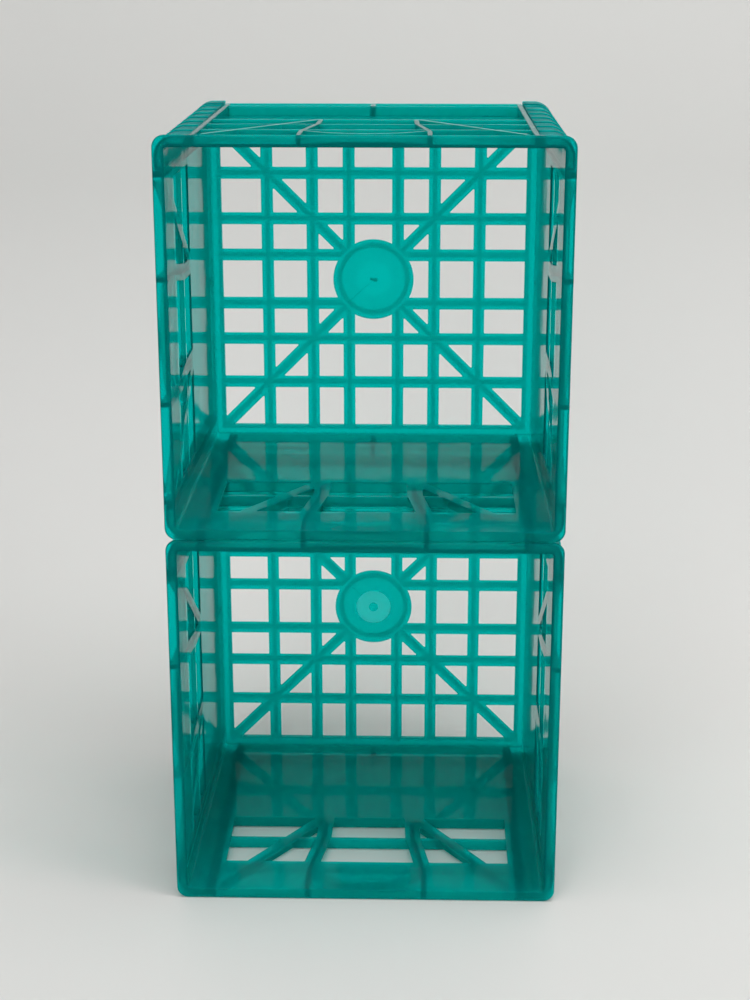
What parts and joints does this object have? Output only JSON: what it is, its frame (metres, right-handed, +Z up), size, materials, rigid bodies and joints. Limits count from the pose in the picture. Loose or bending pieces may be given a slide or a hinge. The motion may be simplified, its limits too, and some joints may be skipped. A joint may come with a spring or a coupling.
{
  "type": "storage crate stack",
  "caption": "Square ribbed crates of translucent teal plastic, stacked on their sides, with lattice bases, round gate bosses and slotted hand holds.",
  "frame": {"origin": "on the resting face, under the middle of the stack", "axes": "+Z up, +Y from the mouths towards the bases, +X to the right seen from the mouths"},
  "size_m": [0.33, 0.3, 0.66],
  "materials": {
    "teal_plastic": "translucent moulded polypropylene, glossy inside, fine moulding haze"
  },
  "bodies": {
    "lower_crate": {"lower_rim": "teal_plastic", "lower_base_frame": "teal_plastic", "lower_base_lattice": "teal_plastic", "lower_gate_boss": "teal_plastic", "lower_top_wall": "teal_plastic", "lower_right_wall": "teal_plastic", "lower_bottom_wall": "teal_plastic", "lower_left_wall": "teal_plastic", "lower_top_right_post": "teal_plastic", "lower_bottom_right_post": "teal_plastic", "lower_bottom_left_post": "teal_plastic", "lower_top_left_post": "teal_plastic"},
    "upper_crate": {"upper_rim": "teal_plastic", "upper_base_frame": "teal_plastic", "upper_base_lattice": "teal_plastic", "upper_gate_boss": "teal_plastic", "upper_top_wall": "teal_plastic", "upper_right_wall": "teal_plastic", "upper_bottom_wall": "teal_plastic", "upper_left_wall": "teal_plastic", "upper_top_right_post": "teal_plastic", "upper_bottom_right_post": "teal_plastic", "upper_bottom_left_post": "teal_plastic", "upper_top_left_post": "teal_plastic"}
  },
  "joints": [
    {"name": "crate_lift", "type": "slide", "parent": "lower_crate", "child": "upper_crate", "axis": [0, 0, 1], "range_m": [0, 0.35]}
  ]
}
